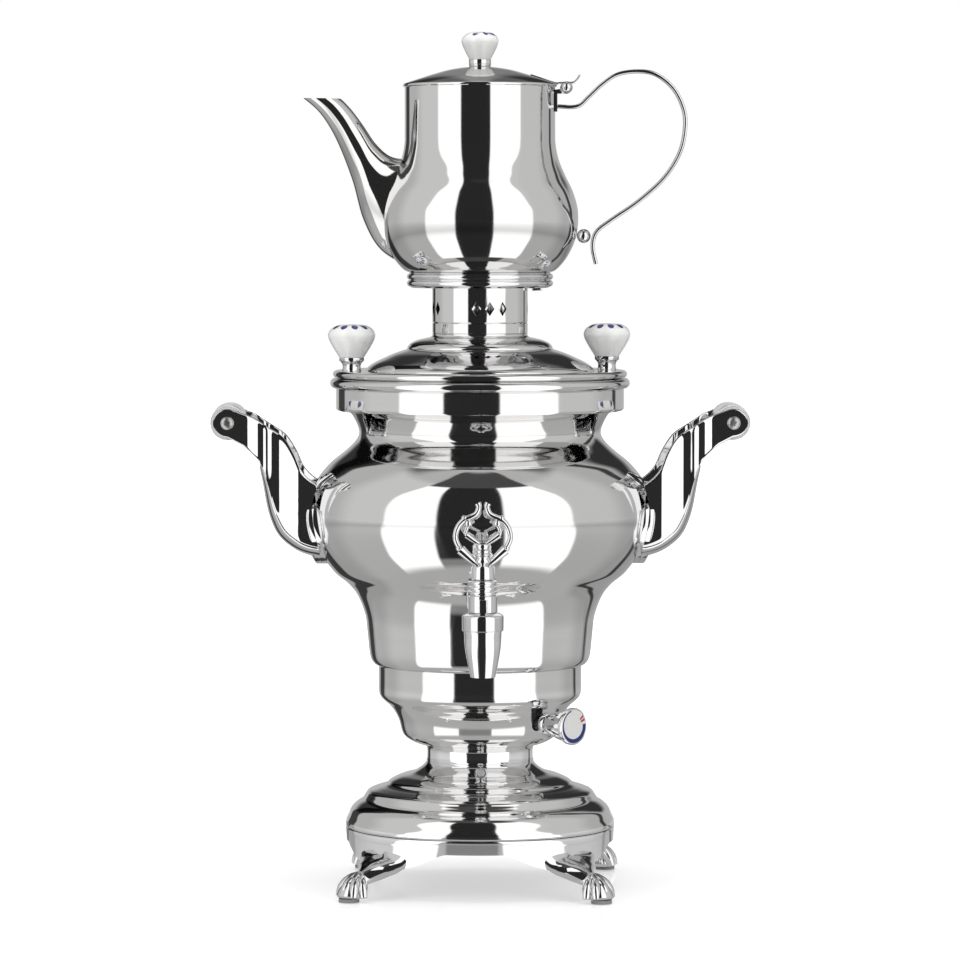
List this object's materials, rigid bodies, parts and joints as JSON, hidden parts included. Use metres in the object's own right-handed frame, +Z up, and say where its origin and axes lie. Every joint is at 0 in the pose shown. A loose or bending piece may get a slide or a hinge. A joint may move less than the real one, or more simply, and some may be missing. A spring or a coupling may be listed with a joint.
{
  "type": "electric samovar with teapot",
  "caption": "Polished pear-shaped electric samovar on claw feet with a front tap, side handles, a vented lid and a teapot standing on its chimney.",
  "frame": {"origin": "on the table under the axis of the tank", "axes": "+Z up along the tank's axis, -Y to the front where the tap is, +X to the teapot's handle"},
  "size_m": [0.3546, 0.2603, 0.5641],
  "materials": {
    "polished_steel": "mirror-polished stainless steel",
    "chrome": "polished chrome on a casting",
    "plain_steel": "satin stainless steel",
    "porcelain": "white glaze with blue petals",
    "brass": "machined brass",
    "black_plastic": "moulded black plastic",
    "rubber": "grey silicone rubber",
    "ceramic": "unglazed ceramic",
    "lamp_lens": "clear faceted lens",
    "dial_face": "white dial with a blue arc and two red marks"
  },
  "bodies": {
    "samovar": {"foot_skirt": "chrome", "foot_pads": "rubber", "bottom_cover": "plain_steel", "base_dome": "polished_steel", "waist_ring": "chrome", "lower_housing": "polished_steel", "tank": "polished_steel", "tank_floor": "plain_steel", "rim_collar": "polished_steel", "heating_element": "plain_steel", "element_nuts": "brass", "centre_stud": "plain_steel", "stud_nut": "plain_steel", "thermostat_body": "black_plastic", "thermostat_bracket": "plain_steel", "thermal_cutout": "black_plastic", "terminal_block": "ceramic", "pilot_lamp_lens": "lamp_lens", "pilot_lamp_body": "chrome", "power_inlet": "black_plastic", "inlet_pins": "brass", "handle_pad_left": "chrome", "handle_pad_right": "chrome", "handle_left": "chrome", "handle_right": "chrome", "grip_left": "porcelain", "grip_right": "porcelain", "grip_rods": "plain_steel", "handle_bolts": "plain_steel", "handle_gaskets": "rubber", "tap_body": "chrome", "tap_gasket": "rubber", "tap_nut": "plain_steel", "tap_gland": "chrome", "tap_nozzle": "chrome"},
    "tap_key": {"tap_plug": "brass", "tap_key": "chrome"},
    "thermostat_knob": {"thermostat_shaft": "plain_steel", "thermostat_knob": "chrome", "thermostat_dial": "dial_face"},
    "lid": {"lid_shell": "polished_steel", "lid_neck": "polished_steel", "lid_ferrules": "chrome", "lid_knobs": "porcelain", "lid_knob_screws": "plain_steel"},
    "teapot_stand": {"stand_sleeve": "polished_steel", "stand_ring": "chrome"},
    "teapot": {"pot_body": "polished_steel", "pot_spout": "polished_steel", "pot_handle": "chrome", "pot_handle_ball": "chrome", "pot_hinge_bracket": "chrome", "pot_hinge_pin": "chrome"},
    "teapot_lid": {"pot_lid": "polished_steel", "pot_lid_lever": "chrome", "pot_lid_ferrule": "chrome", "pot_lid_knob": "porcelain", "pot_lid_screw": "plain_steel"}
  },
  "joints": [
    {"name": "lid_lift", "type": "slide", "parent": "samovar", "child": "lid", "axis": [0, 0, 1], "range_m": [0, 0.06]},
    {"name": "vent_turn", "type": "hinge", "parent": "lid", "child": "teapot_stand", "pos_m": [0, 0, 0.385], "axis": [0, 0, 1], "range_deg": [0, 45]},
    {"name": "teapot_lift", "type": "slide", "parent": "teapot_stand", "child": "teapot", "axis": [0, 0, 1], "range_m": [0, 0.12]},
    {"name": "teapot_lid_hinge", "type": "hinge", "parent": "teapot", "child": "teapot_lid", "pos_m": [0.0568, 0, 0.5275], "axis": [0, 1, 0], "range_deg": [0, 90]},
    {"name": "tap_turn", "type": "hinge", "parent": "samovar", "child": "tap_key", "pos_m": [0, -0.134, 0.198], "axis": [0, 0, 1], "range_deg": [0, 90]},
    {"name": "thermostat_turn", "type": "hinge", "parent": "samovar", "child": "thermostat_knob", "pos_m": [0.04863, -0.05035, 0.112], "axis": [-0.6947, 0.7193, 0], "range_deg": [0, 270]}
  ]
}
